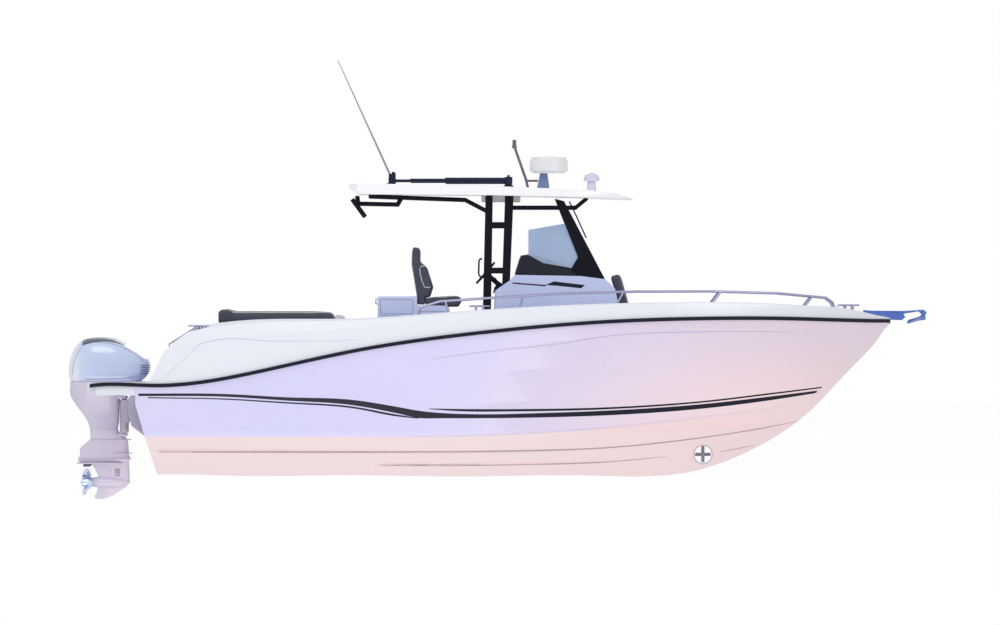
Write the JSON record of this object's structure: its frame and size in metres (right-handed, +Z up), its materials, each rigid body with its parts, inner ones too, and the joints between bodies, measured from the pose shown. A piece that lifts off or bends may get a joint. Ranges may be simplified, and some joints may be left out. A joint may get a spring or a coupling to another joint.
{
  "type": "center console boat with twin outboard engines",
  "caption": "Deep-V center console boat with hardtop, helm seats, sunpad, bow seating, folding outriggers and two tilting, steering outboard engines.",
  "frame": {"origin": "mount waterline: on the centreline amidships at the level of the water the boat floats on", "axes": "+X forward to the bow, +Y to port, +Z up"},
  "size_m": [10.503, 3.2678, 5.3643],
  "materials": {
    "gelcoat_white": "gloss",
    "gelcoat_deck": "satin",
    "nonskid": "textured",
    "rub_rail_black": "satin",
    "upholstery_grey": "satin",
    "upholstery_white": "satin",
    "frame_black": "satin painted",
    "dash_black": "gloss",
    "glass_tint": "clear tinted",
    "stainless": "polished",
    "cowl_white": "gloss",
    "engine_grey": "satin",
    "bracket_black": "satin",
    "plastic_white": "gloss",
    "plastic_black": "satin",
    "propeller_steel": "polished"
  },
  "bodies": {
    "hull": {"stern_hull": "gelcoat_white", "side_hull": "gelcoat_white", "bow_hull": "gelcoat_white", "stern_deck": "gelcoat_deck", "port_gunwale": "gelcoat_deck", "starboard_gunwale": "gelcoat_deck", "foredeck": "gelcoat_deck", "stern_rub_rail": "rub_rail_black", "side_rub_rail": "rub_rail_black", "bow_rub_rail": "rub_rail_black", "cockpit_sole": "nonskid", "swim_platform": "gelcoat_deck", "sunpad_base": "gelcoat_deck", "aft_backrest": "upholstery_white", "leaning_post": "gelcoat_deck", "helm_seat_cushions": "upholstery_grey", "helm_seat_backs": "upholstery_grey", "console": "gelcoat_deck", "dash_hood": "dash_black", "console_seat_base": "gelcoat_deck", "console_seat_cushions": "upholstery_grey", "bow_seat_base": "gelcoat_deck", "bow_cushions": "upholstery_grey", "hardtop": "gelcoat_white", "hardtop_frame": "frame_black", "rod_holders": "frame_black", "windscreen_frame": "frame_black", "windscreen_glass": "glass_tint", "side_glasses": "glass_tint", "radar": "plastic_white", "light_mast": "stainless", "small_dome": "plastic_white", "outrigger_bases": "stainless", "antenna_mount": "stainless", "bow_rails": "stainless", "cleats": "stainless", "helm_column": "plastic_black", "throttle": "plastic_black", "bow_roller": "stainless", "anchor": "stainless", "thruster_leg": "plastic_white", "clamp_brackets": "bracket_black"},
    "anchor_hatch": {"anchor_hatch": "gelcoat_deck"},
    "transom_gate": {"transom_gate": "gelcoat_deck"},
    "sunpad_lid": {"sunpad_lid": "gelcoat_deck", "sunpad_cushion": "upholstery_grey"},
    "console_door": {"console_door": "gelcoat_deck"},
    "port_outrigger": {"port_outrigger": "stainless"},
    "starboard_outrigger": {"starboard_outrigger": "stainless"},
    "antenna": {"antenna": "plastic_white"},
    "helm_wheel": {"helm_wheel": "plastic_black"},
    "thruster_propeller": {"thruster_propeller": "plastic_white"},
    "port_tilt": {"port_swivel_bracket": "engine_grey"},
    "port_engine": {"port_engine_cowl": "cowl_white", "port_engine_leg": "engine_grey"},
    "port_propeller": {"port_propeller": "propeller_steel"},
    "starboard_tilt": {"starboard_swivel_bracket": "engine_grey"},
    "starboard_engine": {"starboard_engine_cowl": "cowl_white", "starboard_engine_leg": "engine_grey"},
    "starboard_propeller": {"starboard_propeller": "propeller_steel"}
  },
  "joints": [
    {"name": "anchor_hatch_hinge", "type": "hinge", "parent": "hull", "child": "anchor_hatch", "pos_m": [4.233, 0, 1.5118], "axis": [0, 1, 0], "range_deg": [0, 85]},
    {"name": "transom_gate_hinge", "type": "hinge", "parent": "hull", "child": "transom_gate", "pos_m": [-3.319, 1.207, 0.95], "axis": [0, 0, 1], "range_deg": [0, 90]},
    {"name": "sunpad_lid_hinge", "type": "hinge", "parent": "hull", "child": "sunpad_lid", "pos_m": [-3.322, 0, 1.272], "axis": [0, -1, 0], "range_deg": [0, 70]},
    {"name": "console_door_hinge", "type": "hinge", "parent": "hull", "child": "console_door", "pos_m": [1.057, 0.65, 1.2], "axis": [0, 0, -1], "range_deg": [0, 100]},
    {"name": "port_outrigger_swing", "type": "hinge", "parent": "hull", "child": "port_outrigger", "pos_m": [0.214, 0.96, 3.052], "axis": [0, 0, -1], "range_deg": [0, 95]},
    {"name": "starboard_outrigger_swing", "type": "hinge", "parent": "hull", "child": "starboard_outrigger", "pos_m": [0.214, -0.96, 3.052], "axis": [0, 0, 1], "range_deg": [0, 95]},
    {"name": "antenna_fold", "type": "hinge", "parent": "hull", "child": "antenna", "pos_m": [-1.231, -0.7, 3.118], "axis": [0, -1, 0], "range_deg": [0, 65]},
    {"name": "helm_wheel_turn", "type": "hinge", "parent": "hull", "child": "helm_wheel", "pos_m": [-0.067, -0.3, 1.923], "axis": [-0.7547, 0, 0.6561], "range_deg": [-810, 810]},
    {"name": "thruster_spin", "type": "hinge", "parent": "hull", "child": "thruster_propeller", "pos_m": [2.595, 0, -0.299], "axis": [0, 1, 0], "continuous": true},
    {"name": "port_tilt_hinge", "type": "hinge", "parent": "hull", "child": "port_tilt", "pos_m": [-4.35, 0.37, 0.395], "axis": [0, 1, 0], "range_deg": [-4, 60]},
    {"name": "port_steer", "type": "hinge", "parent": "port_tilt", "child": "port_engine", "pos_m": [-4.492, 0.37, 0.15], "axis": [0, 0, 1], "range_deg": [-30, 30]},
    {"name": "port_propeller_spin", "type": "hinge", "parent": "port_engine", "child": "port_propeller", "pos_m": [-4.93, 0.37, -0.637], "axis": [1, 0, 0], "continuous": true},
    {"name": "starboard_tilt_hinge", "type": "hinge", "parent": "hull", "child": "starboard_tilt", "pos_m": [-4.35, -0.37, 0.395], "axis": [0, 1, 0], "range_deg": [-4, 60]},
    {"name": "starboard_steer", "type": "hinge", "parent": "starboard_tilt", "child": "starboard_engine", "pos_m": [-4.492, -0.37, 0.15], "axis": [0, 0, 1], "range_deg": [-30, 30]},
    {"name": "starboard_propeller_spin", "type": "hinge", "parent": "starboard_engine", "child": "starboard_propeller", "pos_m": [-4.93, -0.37, -0.637], "axis": [1, 0, 0], "continuous": true}
  ],
  "couplings": [
    {"joint": "starboard_steer", "follows": "port_steer", "ratio": 1}
  ]
}
